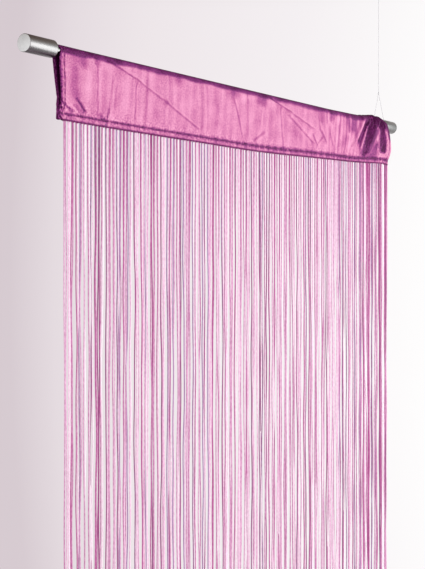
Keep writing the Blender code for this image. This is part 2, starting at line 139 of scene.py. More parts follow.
# Creases pressed into the satin and patches of painted shade, some of them stray turns of its tint, here
# only: a line each, in below 0 and out above it. Shade is painted shade, how far the satin turns there from
# its pink to its
# purple: along the creases, in dips under the turn over the rod and on fold flanks in the gather that face
# away from the light. Below 0 it is a painted highlight along a ridge.
Crease = namedtuple("Crease", "x_top z_top x_end z_end half_width height shade")
FRONT_CREASES_AND_PAINTED_SHADE = (
    (-0.446, 0.008, -0.43, 0.006, 0.011, 0.0, 0.6),
    (-0.437, -0.062, -0.437, -0.0868, 0.005, 0.0, 0.26),
    (-0.4045, -0.057, -0.389, -0.071, 0.0026, -0.0009, 0.58),
    (-0.406, -0.044, -0.404, -0.059, 0.007, 0.0, 0.22),
    (-0.4095, -0.02, -0.407, -0.056, 0.01, -0.0006, 0.24),
    (-0.429, -0.067, -0.413, -0.073, 0.0018, -0.0005, 0.4),
    (-0.406, -0.066, -0.396, -0.074, 0.004, -0.0004, 0.3),
    (-0.4, 0.0, -0.398, -0.011, 0.013, 0.0, 0.32),
    (-0.37, 0.0, -0.368, -0.008, 0.008, 0.0, 0.26),
    (-0.303, -0.004, -0.3, -0.064, 0.005, 0.0002, -0.1),
    (-0.3687, -0.008, -0.3669, -0.043, 0.0018, -0.0005, 0.26),
    (-0.3669, -0.043, -0.3634, -0.072, 0.0018, -0.0005, 0.3),
    (-0.36, -0.073, -0.348, -0.0765, 0.003, -0.0004, 0.3),
    (-0.3343, -0.022, -0.3381, -0.063, 0.0019, -0.0006, 0.26),
    (-0.3381, -0.063, -0.3437, -0.085, 0.0022, -0.001, 0.5),
    (-0.328, -0.034, -0.327, -0.066, 0.0016, -0.0003, 0.12),
    (-0.2861, -0.016, -0.2817, -0.071, 0.0018, -0.0005, 0.26),
    (-0.3437, -0.001, -0.2874, -0.016, 0.0017, -0.0006, 0.3),
    (-0.2874, -0.016, -0.2194, -0.039, 0.0017, -0.0006, 0.26),
    (-0.2194, -0.039, -0.1391, -0.067, 0.0017, -0.0005, 0.26),
    (-0.2607, -0.004, -0.2607, -0.07, 0.0028, 0.0005, 0.13),
    (-0.233, -0.004, -0.233, -0.07, 0.006, 0.0, 0.06),
    (-0.217, -0.002, -0.212, -0.066, 0.003, 0.0005, -0.16),
    (-0.206, -0.002, -0.202, -0.066, 0.005, 0.0, 0.1),
    (-0.192, 0.001, -0.19, -0.005, 0.012, 0.0, 0.3),
    (-0.1264, -0.004, -0.118, -0.068, 0.0036, 0.0006, -0.14),
    (-0.134, -0.004, -0.127, -0.068, 0.004, 0.0, 0.12),
    (-0.095, -0.006, -0.09, -0.056, 0.011, 0.0, 0.07),
    (-0.045, 0.002, -0.048, -0.007, 0.016, 0.0, 0.34),
    (-0.0511, -0.006, -0.036, -0.035, 0.0018, -0.0007, 0.34),
    (-0.036, -0.035, -0.0193, -0.067, 0.0018, -0.0005, 0.24),
    (-0.008, -0.003, -0.001, -0.064, 0.0024, 0.0004, 0.12),
    (0.0432, -0.056, 0.0198, -0.069, 0.0022, -0.0006, 0.3),
    (0.034, -0.004, 0.03, -0.05, 0.0026, 0.0005, 0.1),
    (0.036, 0.002, 0.034, -0.01, 0.014, 0.0, 0.36),
    (0.066, -0.026, 0.072, -0.062, 0.01, 0.0, 0.08),
    (0.0903, -0.01, 0.0974, -0.054, 0.002, -0.0005, 0.24),
    (0.0974, -0.054, 0.1067, -0.074, 0.002, -0.0005, 0.24),
    (0.0561, 0.001, 0.1176, -0.0142, 0.0018, -0.0006, 0.26),
    (0.1176, -0.0142, 0.1923, -0.0325, 0.0018, -0.0006, 0.24),
    (0.1176, -0.0207, 0.199, -0.0555, 0.0018, -0.0006, 0.24),
    (0.15, -0.004, 0.146, -0.06, 0.0028, 0.0004, 0.06),
    (0.2075, 0.0, 0.2177, -0.0315, 0.002, -0.0006, 0.3),
    (0.2177, -0.0315, 0.2418, -0.0513, 0.002, -0.0006, 0.26),
    (0.214, 0.002, 0.224, -0.018, 0.013, 0.0, 0.24),
    (0.2435, -0.004, 0.248, -0.06, 0.0034, 0.0005, -0.14),
    (0.264, 0.002, 0.261, -0.011, 0.011, 0.0, 0.28),
    (0.29, -0.004, 0.286, -0.056, 0.0026, -0.0006, 0.16),
    (0.34, 0.002, 0.334, -0.021, 0.014, 0.0, 0.44),
    (0.312, -0.038, 0.304, -0.05, 0.011, 0.0, 0.24),
    (0.315, 0.001, 0.324, -0.024, 0.008, 0.0, 0.32),
    (0.2405, 0.0, 0.2425, -0.019, 0.003, 0.0, 0.3),
    (0.198, -0.044, 0.216, -0.06, 0.0018, -0.0005, 0.28),
    (0.229, -0.043, 0.212, -0.061, 0.0018, -0.0005, 0.24),
    (0.256, -0.034, 0.27, -0.054, 0.0022, -0.0004, 0.2),
    (0.329, -0.01, 0.32, -0.03, 0.006, 0.0004, -0.1),
    (0.14, -0.044, 0.15, -0.054, 0.014, 0.0, 0.12),
    (0.365, -0.003, 0.364, -0.011, 0.005, 0.0004, -0.3),
    (0.383, -0.003, 0.36, -0.038, 0.0072, -0.0012, 0.72),
    (0.39, -0.004, 0.369, -0.048, 0.003, 0.002, -0.3),
    (0.402, 0.001, 0.381, -0.06, 0.01, -0.0006, 0.95),
    (0.421, -0.004, 0.421, -0.017, 0.012, 0.0, 0.4),
    (0.411, -0.016, 0.395, -0.056, 0.011, 0.0, 0.72),
    (0.417, -0.023, 0.434, -0.046, 0.003, 0.0008, -0.3),
    (0.407, -0.028, 0.429, -0.045, 0.0028, -0.0004, 0.36),
    (0.438, -0.004, 0.4415, -0.02, 0.0042, -0.0008, 0.9),
    (0.4425, -0.022, 0.4525, -0.048, 0.006, -0.0012, 0.95),
    (0.441, 0.006, 0.462, -0.022, 0.0042, 0.0, 0.85),
    (0.42, -0.038, 0.416, -0.06, 0.018, 0.0, 0.44),
)
BACK_CREASES_AND_PAINTED_SHADE = (
    (-0.4, -0.006, -0.372, -0.074, 0.0022, -0.0007, 0.26),
    (-0.31, -0.012, -0.322, -0.074, 0.0022, -0.0007, 0.24),
    (-0.25, -0.002, -0.165, -0.034, 0.002, -0.0008, 0.26),
    (-0.165, -0.034, -0.095, -0.068, 0.002, -0.0007, 0.24),
    (-0.02, -0.006, -0.012, -0.068, 0.0026, 0.0006, 0.1),
    (0.06, -0.004, 0.15, -0.04, 0.002, -0.0008, 0.26),
    (0.22, -0.006, 0.205, -0.06, 0.0024, -0.0007, 0.24),
    (0.33, -0.006, 0.312, -0.054, 0.0026, -0.0008, 0.26),
    (0.405, -0.004, 0.388, -0.056, 0.008, -0.0006, 0.5),
)
CREASE_FADE = 0.006
CREASE_SPREAD = 0.6
# Painted highlight next to each crease's dark line: its share of the shade, its offset in half widths, and
# its most.
CREASE_LIGHT, CREASE_LIGHT_OFF = 0.4, 1.8
MOST_LIGHT = 0.14

# Share of the gather's push that is left at each way down.
EASE = (
    (0.0, 1.0), (0.125, 1.0), (0.19, 0.80), (0.34, 0.50), (0.52, 0.26), (0.68, 0.05), (0.88, 0.0), (1.0, 0.0),
)

# The left-hand mouth's edge on each side: way down and X.
LEFT_END = -0.4390
FRONT_MOUTH = (
    (0.0, -0.4486), (0.05, -0.4466), (0.11, -0.4408), (0.18, -0.4388), (0.222, -0.4402), (0.256, -0.4410),
    (0.334, -0.4413), (0.42, -0.4400), (0.62, -0.4376), (0.76, -0.4355), (0.84, -0.4370), (0.90, -0.4404),
    (1.0, -0.4408),
)
BACK_MOUTH = (
    (0.0, -0.4486), (0.05, -0.4472), (0.11, -0.4440), (0.20, -0.4434), (0.42, -0.4400), (0.62, -0.4370),
    (0.71, -0.4362), (0.80, -0.4392), (0.90, -0.4414), (1.0, -0.4412),
)

# The two sides of the sleeve: which way is out along Y, and where the uneven waves along it start.
Face = namedtuple("Face", "out start mouth folds creases")
FRONT = Face(-1, 0.0, FRONT_MOUTH, FRONT_FOLDS, FRONT_CREASES_AND_PAINTED_SHADE)
BACK = Face(1, 2.4, BACK_MOUTH, BACK_FOLDS, BACK_CREASES_AND_PAINTED_SHADE)

# Finer shape of the cloth, here only. A pair of numbers after a size says from where to where it sets in.
# An uneven wave has its size, its pitch along the cloth and where it starts.
Ripple = namedtuple("Ripple", "size pitch start")
PANEL_CLEAR = 0.0014
RIGHT_PULL, RIGHT_PULL_WAYS = 0.0045, (0.78, 0.95)
RIGHT_DECAY = 0.02
LIFT = 0.0008
GATHER_LIFT, GATHER_LIFT_FROM, GATHER_LIFT_TO = 0.0012, (0.240, 0.345), (0.455, 0.475)
TOP_BUMP, TOP_BUMPS_FROM = Ripple(0.0006, 0.0135, 1.0), (0.335, 0.360)
GATHER_FROM = (0.31, 0.37)
FOLD_SHARE = 0.75
BULGES = (Ripple(0.0004, 0.046, 0.0), Ripple(0.0003, 0.019, 1.0))
BULGE_HEIGHT, BULGE_FADE, BULGE_END = -0.004, 0.012, 0.36
PUCKER_PITCH, PUCKER_FADE = 0.0076, 0.006
PUCKERS = (Ripple(0.00027, PUCKER_PITCH, 0.0), Ripple(0.00027, 0.019, 2.0))
BUNCH = Ripple(0.0011, 0.0105, 0.6)
BUNCH_FROM, BUNCH_HEIGHTS = (0.372, 0.395), (-0.012, -0.003)
BUNCH_LESS, BUNCH_LESS_FROM = 0.7, (0.450, 0.466)
CRUMPLE, CRUMPLE_REACH, CRUMPLE_WAYS = 0.0009, 0.020, (0.60, 0.85)
CRUMPLE_PITCH, CRUMPLE_SLANT = 0.0075, 0.6
CROSS_PITCH, CROSS_SLANT = 0.011, -0.3
STITCH_GROOVE, STITCH_GROOVE_HALF = 0.0004, 0.0011
SEAM_DROP, SEAM_DROPS_FROM, SEAM_DROPS_TO = 0.0010, (0.25, 0.33), (0.36, 0.40)
SCALLOP = 0.0007
HEM_WIDTH, HEM_EXTRA = 0.0078, 0.0004
HEM_CURL, HEM_CURL_REACH = 0.0012, 0.0022
CLOTH_THICKNESS = 0.00032

# Shades of the satin, from its pink, 0, to its purple, 1: a dark line at each hem's stitches, partly their
# thread and partly painted shade in their groove; darker strips along the left-hand hem and at the top of the
# right-hand one; a dark line along the seam, partly its stitches and partly painted shadow of its puckers;
# mottle in the band, darker towards its lower edge; painted shade in the gather's hollows and under its
# bunched top; painted light and shade along the crumples in the corner; and streaks.
HEM_SHADE, HEM_SHADE_HALF, HEM_EVEN, HEM_PITCH = 0.62, 0.00154, 0.66, 0.011
LEFT_HEM_SHADE, LEFT_HEM_WIDTH = 0.48, 0.9 * HEM_WIDTH
RIGHT_HEM_SHADE, RIGHT_HEM_WIDTH, RIGHT_HEM_HEIGHTS = 0.55, 1.2 * HEM_WIDTH, (-0.036, -0.026)
SEAM_SHADE, SEAM_EVEN = 0.84, 0.76
SEAM_UNEVEN = (Ripple(0.18, 0.017, 4.0), Ripple(0.16, PUCKER_PITCH, 1.0))
SEAM_SHADE_HALF, SEAM_WIDENS, SEAM_WIDENS_FROM = 0.0016, 0.90, (-0.32, 0.20)
BAND_MOTTLE, MOTTLE_MIDDLE, MOTTLE_REACH = 0.12, 0.55, 0.28
MOTTLES = (Ripple(1.0, 0.013, 5.0), Ripple(1.0, 0.047, 2.0))
EDGE_SHADE, EDGE_SHADE_FROM = 0.60, (0.70, 0.94)
HOLLOW_SHADE, HOLLOW_DEPTH = 0.14, 0.0040
BUNCH_SHADE = 0.60
CORNER_PAINTED_LIGHT_AND_SHADE = Ripple(0.18, 0.0065, 1.0)
STREAK = Ripple(0.05, 0.023, 3.0)
NARROW_STREAK, NARROW_MIDDLE, NARROW_REACH = Ripple(0.11, 0.011, 0.0), 0.315, 0.060

# Wear, from 0 to 1, that breaks the tone up: least, near the seam and where it sets in at the gather.
LEAST_WORN, WORN_SEAM_HALF, WORN_GATHER = 0.25, 0.008, (0.36, 0.39)

# Tone of the two-tone satin, with painted shade: where it turns over the rod, partly its two-tone and partly
# painted shade from the dim overhead; painted shade where it faces up, to the dim overhead, and where it
# faces left, away from the light; and how it is limited.
TURN_TONE_AND_PAINTED_SHADE, TURN_HEIGHT, TURN_FADE = 0.64, -0.0028, 0.0022
TURN_RISE, TURN_RISES_FROM, TURN_RIPPLE = 0.0018, (-0.40, -0.20), Ripple(0.0008, 0.083, 0.9)
TURN_SOFTER, TURN_SOFTER_FROM = 0.0014, (-0.10, 0.20)
UP_PAINTED_SHADE, UP_FROM = 0.50, (0.30, 0.90)
LEFT_PAINTED_SHADE, LEFT_FROM, LEFT_REACH = 0.55, 0.16, 0.40
TOP_PAINTED_SHADE, TOP_FROM = 0.36, (0.70, 0.97)
TONE_KNEE, TONE_ROOM, TONE_SOFT = 0.50, 0.20, 0.26
LEAST_TONE = -0.12
TONE_OFFSET = 0.45
# The inner face is painted near black as shade inside the sleeve, partly the satin's darker wrong side, and
# is paler where the hems are turned in near its edges.
TURNED_TONE, TURNED_FROM = 0.5, 0.6

# Grid that the cloth is made on, closer at its ends and in the gather.
COLUMNS, FINE_STEPS = 420, 8
ARC_ROWS = 9
FRONT_ROWS, BACK_ROWS = (54, 9), (24, 7)
END_CROWD, END_CROWD_REACH, GATHER_CROWD = 2.5, 0.014, (0.34, 0.38)

# Stitches: a row has its height in the band as a share of it, its pitch and how much of it a stitch takes.
STITCH_RADIUS, EDGE_STITCH_RADIUS = 0.0005, 0.0008
BAND_STITCHES = ((0.88, 0.0040, 0.74), (0.10, 0.0038, 0.80))
HEM_STITCH_PITCH, HEM_STITCH_SHARE, HEM_STITCHES_FROM = 0.0040, 0.66, 0.6 * ARC_SHARE
STITCH_INSET = 0.003
PANEL_LENGTH = 0.105
EDGE_STITCH_HEIGHT, EDGE_STITCH_SLANT, EDGE_STITCH_DROP = 0.12, 0.0004, 0.0014
STITCH_SIDES = 6
# Shape of a stitch: share of its length, thickness and rise off the cloth, both in radii.
STITCH_RINGS = ((0.0, 0.35, -0.6), (0.18, 0.9, 0.25), (0.5, 1.0, 0.6), (0.82, 0.9, 0.25), (1.0, 0.35, -0.6))

# Strings, as in the part. Waves set their pairs off the even pitch: how far, the turn from one pair to the
# next, where the wave starts, and how far it turns on from the roots to the tips.
STRAND_COUNT = 240
STRAND_LENGTH = 2.404
FIRST_PAIR = -0.4255
LAST_PAIR = 0.4755
PAIR_PITCH = (LAST_PAIR - FIRST_PAIR) / (STRAND_COUNT // 2 - 1)
STRAY_DEPTH = 0.3
Wave = namedtuple("Wave", "reach turn start drift")
WANDER_WAVES = (Wave(0.0019, 2.41, 0.0, 1.5), Wave(0.0012, 0.93, 2.0, -2.2))
LEAN_WAVE = Wave(0.0024, 0.342, 0.6, 0.0)
SPLIT_WAVE = Wave(0.0004, 1.93, 1.0, 2.0)
ACROSS_WAVE = Wave(0.0022, 0.74, 1.0, 0.0)

# How the fine strings differ from the part's plain strands: thinner and round, side by side, each with wavers
# of its own, given as how far and how long.
STRING_RADIUS, STRING_SPREAD = 0.00086, (0.92, 1.08)
STRING_PAIR_HALF, STRING_PAIR_DEPTH = 0.00132, 0.0004
STRING_SIDES, STRING_RINGS, RINGS_EVEN = 6, 100, 0.3
ROOT_DROP = 0.00235
ROOT_INSIDE = 0.005
TIP_SPREAD = 0.003
WAVERS, WAVER_DEPTH = ((0.00065, 0.33), (0.00032, 0.14)), 0.2
STRING_APART = 1.7
CHANCE_START = 7

# Their tints, from white, 0, to violet, 1, and the chance of each in the darker front set, in the paler back
# set and at the right-hand end. The split is partly their own tints and partly painted light: the darker
# front set, the left string of each pair, is painted as its shaded side, and the paler back set, the right
# one, as its lit side, with near-white tints as painted highlights. Along a string the tint changes in slow
# waves: how much, and turns a metre.
STRING_TINTS = (0.02, 0.18, 0.34, 0.50, 0.66, 0.82, 0.98)
PAINTED_SHADE_SHARES = (0.0, 0.04, 0.16, 0.36, 0.10, 0.24, 0.10)
PAINTED_LIGHT_SHARES = (0.18, 0.36, 0.30, 0.09, 0.02, 0.02, 0.03)
END_SHARES = (0.0, 0.02, 0.06, 0.18, 0.52, 0.18, 0.04)
DARK_END = 0.37
TINT_SPREAD = 0.05
TINT_WAVES = ((0.07, 2.1), (0.04, 7.0))
# Painted shadow of the band on the strings near their roots: how dark, how far down, and how it spares pale
# ones.
ROOT_PAINTED_SHADOW, ROOT_PAINTED_SHADOW_REACH, ROOT_PALE = 0.15, 0.09, 3
LOW_DARKER, LOW_DARKER_FROM = 0.035, (0.2, 1.0)
FLECK_SHARE = 0.40
PALE_STOUT, DARK_THINNER, END_STOUT = 1.08, 0.16, 1.26

# Runs of strings that lean paler, below 0, or darker, above it: from where to where along X, and how far.
GROUPS = (
    (-0.430, -0.4125, -0.30), (-0.4125, -0.3945, 0.17), (-0.360, -0.320, -0.06), (-0.246, -0.225, 0.12),
    (-0.203, -0.181, 0.10), (-0.134, -0.111, -0.05), (-0.111, -0.087, 0.15), (-0.062, -0.036, -0.07),
    (-0.013, 0.012, -0.15), (0.038, 0.093, -0.15), (0.180, 0.210, -0.10), (0.372, 0.409, -0.13),
    (0.409, 0.447, 0.14), (0.447, 0.480, -0.22),
)

# Tape that they are sewn to: half its thickness, its two edges over the band's lower edge, and its tint.
TAPE_HALF, TAPE_TOP, TAPE_LOW, TAPE_PAST, TAPE_COLUMNS = 0.0005, 0.006, -0.0009, 0.003, 240
TAPE_TINT = 0.72

# Metal pieces, as in the part but for the collar and the number of sides.
ROD_RADIUS = 0.005
HALF_SPAN = 0.5
FINIAL_RADIUS = 0.0114
FINIAL_LENGTH = 0.056
FINIAL_BORE_DEPTH = 0.020
OUTER_CHAMFER, OUTER_STEPS = 0.0008, 4
INNER_ROUND, INNER_STEPS = 0.0016, 8
ROUND_GAP = 0.00036
COLLAR_LENGTH, COLLAR_RADIUS = 0.0050, 0.0063
METAL_SIDES = 96
SHARP_ANGLE = 30

# Nylon line, as in the part but for the knots, which are wound in turns here.
GAP = 0.0003
LINE_RADIUS = 0.0004
LINE_X = 0.4465
KNOT_HEIGHT = 0.0588
KNOT_RADIUS = 0.0013
KNOT_HALF_LENGTH = 0.0022
KNOT_TURNS, KNOT_STEPS, KNOT_TAPER = 4, 14, 0.55
EYE_KNOT_HEIGHT = 0.244
EYE_CENTRE = 0.259
EYE_RADIUS = 0.0055
RISER_STEPS, SLING_STEPS, EYE_STEPS = 8, 24, 12
LEG_SHARES = (0.4, 0.75)

# Floor, just under the strings, and the direction in which the room is dim.
FLOOR_HEIGHT, FLOOR_RADIUS, FLOOR_SIDES = -2.52, 6.0, 64
FLOOR_GLOW = 0.26
DIM_DIRECTION = (0.94, -0.342, 0.0)
# Numbers of a Mix node's sockets for its two colours and its result.
MIX_FIRST, MIX_SECOND, MIX_RESULT = 6, 7, 2


def add_object(name, data):
    made = bpy.data.objects.new(name, data)
    bpy.context.scene.collection.objects.link(made)
    return made


def add_piece(name, data, material, replaced=None):
    """Piece that rides the part's one body and the node that it replaces."""
    data.materials.append(material)
    made = add_object(name, data)
    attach(made, "root")
    if replaced:
        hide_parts(replaced)
    return made


def camera():
    data = bpy.data.cameras.new("camera")
    data.sensor_fit = "VERTICAL"
    data.sensor_height = SENSOR_HEIGHT
    data.lens = SENSOR_HEIGHT * FOCAL_PIXELS / PHOTO_HEIGHT
    data.clip_start = 0.01
    made = add_object("camera", data)
    made.location = CAMERA_PLACE
    made.rotation_euler = (math.pi / 2, 0.0, math.atan2(VANISH_PIXELS, FOCAL_PIXELS) - math.pi / 2)
    bpy.context.scene.camera = made
    bpy.context.scene.view_settings.view_transform = "Standard"


def feed(socket, value):
    """Links a node's output to an input, or sets the input to a plain value."""
    if isinstance(value, bpy.types.NodeSocket):
        socket.id_data.links.new(value, socket)
    else:
        socket.default_value = value


def set_shader(material, **inputs):
    """Inputs of a material's shader by name, with an underscore for each blank."""
    shader = material.node_tree.nodes["Principled BSDF"]
    for name, value in inputs.items():
        feed(shader.inputs[name.replace("_", " ")], value)


def new_material(name, **inputs):
    material = bpy.data.materials.new(name)
    material.use_nodes = True
    set_shader(material, **inputs)
    return material


def add_node(tree, kind, **settings):
    """Shader node with its inputs, named as in set_shader, and its other settings."""
    node = tree.nodes.new("ShaderNode" + kind)
    for name, value in settings.items():
        socket = node.inputs.get(name.replace("_", " "))
        if socket is None:
            setattr(node, name, value)
        else:
            feed(socket, value)
    return node


def calculate(operation, first, *others):
    """Result of a Math node, whose first value is another node's output."""
    node = add_node(first.id_data, "Math", operation=operation)
    for socket, value in zip(node.inputs, (first, *others)):
        feed(socket, value)
    return node.outputs[0]


def attribute(tree, name):
    return add_node(tree, "Attribute", attribute_name=name).outputs["Fac"]


def cloth_place(tree):
    return add_node(tree, "UVMap", uv_map="cloth").outputs["UV"]


def stretched(place, *scale):
    return add_node(place.id_data, "Mapping", Vector=place, Scale=scale).outputs["Vector"]


def noise(place, scale, detail, roughness=0.5):
    settings = dict(Vector=place, Scale=scale, Detail=detail, Roughness=roughness)
    return add_node(place.id_data, "TexNoise", **settings).outputs["Fac"]


def bands(place, direction, scale, distortion):
    settings = dict(bands_direction=direction, Vector=place, Scale=scale, Distortion=distortion)
    return add_node(place.id_data, "TexWave", wave_type="BANDS", **settings).outputs["Fac"]


def bump(height, strength, distance, **under):
    settings = dict(Height=height, Strength=strength, Distance=distance, **under)
    return add_node(height.id_data, "Bump", **settings).outputs["Normal"]


def from_signed(value):
    """Share from 0 to 1 of a value from -1 to 1."""
    return add_node(value.id_data, "MapRange", Value=value, From_Min=-1.0).outputs["Result"]


def ramp(share, *stops):
    """Colour for a share, from (place, colour) stops."""
    node = add_node(share.id_data, "ValToRGB", Fac=share)
    elements = node.color_ramp.elements
    for number, (place, colour) in enumerate((stops[0], stops[-1])):
        elements[number].position = place
        elements[number].color = (*colour, 1.0)
    for place, colour in stops[1:-1]:
        elements.new(place).color = (*colour, 1.0)
    return node.outputs["Color"]


def circle(sides):
    """Cosine and sine of even steps round a circle."""
    angles = 2 * math.pi * np.arange(sides) / sides
    return np.stack([np.cos(angles), np.sin(angles)], axis=-1)


def line_curve(name, path, material):
    curve = bpy.data.curves.new(name, "CURVE")
    curve.dimensions = "3D"
    curve.bevel_depth = LINE_RADIUS
    curve.bevel_resolution = 3
    curve.use_fill_caps = True
    spline = curve.splines.new("POLY")
    spline.points.add(len(path) - 1)
    for point, place in zip(spline.points, path):
        point.co = (*place, 1.0)
    return add_piece(name + "_fine", curve, material, name)


def loop_path(knot, centre, radius, steps):
    """Line from just off a knot round a circle and back. Both are heights in the plane across X."""
    toward = 1 if knot > centre else -1
    distance = abs(knot - centre)
    leg = math.sqrt(distance * distance - radius * radius)
    touch = math.acos(radius / distance)
    leg_path = []
    for share in ((KNOT_HALF_LENGTH + GAP) / leg, *LEG_SHARES):
        y = -radius * math.sin(touch) * share
        leg_path.append((LINE_X, y, knot + toward * (radius * math.cos(touch) - distance) * share))
    turn = []
    for k in range(steps + 1):
        angle = touch + 2 * (math.pi - touch) * k / steps
        turn.append((LINE_X, -radius * math.sin(angle), centre + toward * radius * math.cos(angle)))
    return leg_path + turn + [(x, -y, z) for x, y, z in reversed(leg_path)]


def barrel_path(height):
    """Knot of the line wound round itself, in a short barrel."""
    path = []
    for k in range(KNOT_TURNS * KNOT_STEPS + 1):
        share = k / (KNOT_TURNS * KNOT_STEPS)
        angle = 2 * math.pi * KNOT_TURNS * share
        radius = (KNOT_RADIUS - LINE_RADIUS) * (KNOT_TAPER + (1 - KNOT_TAPER) * math.sin(math.pi * share))
        along = (KNOT_HALF_LENGTH - LINE_RADIUS) * (2 * share - 1)
        path.append((LINE_X + radius * math.cos(angle), radius * math.sin(angle), height + along))
    return path


def hanging_line():
    material = new_material(
        "clear_nylon", Base_Color=(0.80, 0.80, 0.83, 1.0), Roughness=0.18, Transmission_Weight=0.45, IOR=1.53
    )
    sling_path = loop_path(KNOT_HEIGHT, 0.0, FINIAL_RADIUS + ROUND_GAP + LINE_RADIUS, SLING_STEPS)
    sling = line_curve("line_sling", sling_path, material)
    knot = line_curve("line_knot", barrel_path(KNOT_HEIGHT), material)
    low = KNOT_HEIGHT + KNOT_HALF_LENGTH + GAP
    high = EYE_KNOT_HEIGHT - KNOT_HALF_LENGTH - GAP
    riser_path = [(LINE_X, 0.0, low + (high - low) * k / RISER_STEPS) for k in range(RISER_STEPS + 1)]
    riser = line_curve("line_riser", riser_path, material)
    eye_knot = line_curve("line_eye_knot", barrel_path(EYE_KNOT_HEIGHT), material)
    eye = line_curve("line_eye", loop_path(EYE_KNOT_HEIGHT, EYE_CENTRE, EYE_RADIUS, EYE_STEPS), material)


def smooth_value(rows, at, column):
    """Column of a table whose first column rises, on a smooth curve through its rows."""
    at = min(max(at, rows[0][0]), rows[-1][0])
    last = len(rows) - 1
    i = max(k for k in range(last) if rows[k][0] <= at)

    def slope(k):
        low, high = rows[max(k - 1, 0)], rows[min(k + 1, last)]
        return (high[column] - low[column]) / (high[0] - low[0])

    step = rows[i + 1][0] - rows[i][0]
    t = (at - rows[i][0]) / step
    start, end = rows[i][column], rows[i + 1][column]
    bend = t * (1 - t) * ((1 - t) * (slope(i) * step - end + start) + t * (end - start - slope(i + 1) * step))
    return start + t * (end - start) + bend


def station(x):
    return Station(x, *(smooth_value(STATIONS, x, column) for column in range(1, len(Station._fields))))


def smooth_step(low, high, value):
    share = np.clip((value - low) / (high - low), 0.0, 1.0)
    return share * share * (3 - 2 * share)


def plateau(rise, fall, value):
    """Share that rises from 0 to 1 over one stretch and falls back over a later one."""
    return smooth_step(*rise, value) * (1 - smooth_step(*fall, value))


def bell(value, middle, half_width):
    return np.exp(-((value - middle) / half_width) ** 2)


def uneven_wave(x, pitch, start):
    """Uneven wave along the cloth, from -1 to 1."""
    turn = 2 * math.pi * x / pitch
    return np.sin(turn + start + 1.3 * np.sin(0.21 * turn + start) + 0.7 * np.sin(0.083 * turn + 2.0 * start))


def ripple(row, x, start=0.0):
    return row.size * uneven_wave(x, row.pitch, start + row.start)


def ripples(rows, x, start):
    return sum(ripple(row, x, start) for row in rows)


def near_line(row, x, z, fade):
    """Distance across a fold or crease in its half widths along X, and how much of it is left at its ends."""
    beyond = np.clip(np.maximum(z - row.z_top, row.z_end - z) / fade, 0.0, 1.0)
    along = np.clip((row.z_top - z) / (row.z_top - row.z_end), 0.0, 1.0)
    return (x - row.x_top - along * (row.x_end - row.x_top)) / row.half_width, (1 - beyond) ** 2


def fold_height(rows, x, z):
    total = np.zeros_like(x)
    for row in map(Fold._make, rows):
        across, left = near_line(row, x, z, FOLD_FADE)
        total += row.height * bell(across, 0.0, 1.0) * left
    return total


def crease_marks(rows, x, z):
    """Height and painted shade of each crease row, the strongest where two meet. A painted highlight runs
    next to each dark line.
    """
    height, shade = np.zeros_like(x), np.zeros_like(x)
    for row in map(Crease._make, rows):
        across, left = near_line(row, x, z, CREASE_FADE + CREASE_SPREAD * row.half_width)
        across = across / math.hypot(1.0, (row.x_end - row.x_top) / (row.z_top - row.z_end))
        line = bell(across, 0.0, 1.0) * left
        beside_painted_highlight = min(CREASE_LIGHT * row.shade, MOST_LIGHT) * bell(across, CREASE_LIGHT_OFF, 1.0) * left
        for total, here in ((height, row.height * line), (shade, row.shade * line - beside_painted_highlight)):
            stronger = np.abs(here) > np.abs(total)
            total[stronger] = here[stronger]
    return height, shade


# A grid of the cloth's points before its folds: where they lie, the band's two edges and sway there, and how
# much of each effect reaches them.
Points = namedtuple(
    "Points", "places x z depth seam bottom sway band_down free from_left from_right gathered bunched corner"
)


def along_rod(places, ways, mouth_rows):
    """X of the cloth: pushed together at the gather, with the mouths' edges at its two ends."""
    gathered = np.maximum(places, GATHER[0][0])
    push = np.array([[smooth_value(GATHER, x, 1)] for x in gathered[:, 0]]) - gathered
    mouth = np.interp(ways, *zip(*mouth_rows)) - LEFT_END
    near_left = np.maximum(0.0, 1 - (places - LEFT_END) / LEFT_DECAY)
    near_right = np.maximum(0.0, 1 - (RIGHT_END - places) / RIGHT_DECAY)
    pull = RIGHT_PULL * near_right * smooth_step(*RIGHT_PULL_WAYS, ways)
    return places + push * np.interp(ways, *zip(*EASE)) + mouth * near_left - pull


def cloth_points(places, face, ways):
    _, top, half, bottom, belly, sway = np.array([station(x) for x in places[:, 0]]).T[..., None]
    seam = bottom + BAND_HEIGHT
    top = top + LIFT + GATHER_LIFT * plateau(GATHER_LIFT_FROM, GATHER_LIFT_TO, places)
    top = top + ripple(TOP_BUMP, places) * smooth_step(*TOP_BUMPS_FROM, places)
    angle = math.pi / 2 * np.minimum(ways / ARC_SHARE, 1.0)
    down = np.clip((ways - ARC_SHARE) / PANEL_SHARE, 0.0, 1.0)
    band_down = np.clip((ways - 1 + BAND_SHARE) / BAND_SHARE, 0.0, 1.0)
    panel_depth = BAND_HALF + (half - BAND_HALF) * (1 - down ** belly)
    depth = np.where(ways <= ARC_SHARE, half * np.sin(angle), panel_depth)
    z = np.where(ways <= ARC_SHARE, top * np.cos(angle), seam * down) + (bottom - seam) * band_down
    bunched = smooth_step(*BUNCH_FROM, places) * smooth_step(*BUNCH_HEIGHTS, z)
    from_left = places - LEFT_END
    return Points(
        places, along_rod(places, ways, face.mouth), z, depth, seam, bottom, sway, band_down,
        free=np.minimum(1.0, ways / ARC_SHARE),
        from_left=from_left,
        from_right=RIGHT_END - places,
        gathered=smooth_step(*GATHER_FROM, places),
        bunched=bunched * (1 - BUNCH_LESS * smooth_step(*BUNCH_LESS_FROM, places)),
        corner=bell(from_left, 0.0, CRUMPLE_REACH) * smooth_step(*CRUMPLE_WAYS, ways),
    )


def seam_height(at):
    return at.seam - SEAM_DROP * (1 + plateau(SEAM_DROPS_FROM, SEAM_DROPS_TO, at.x))


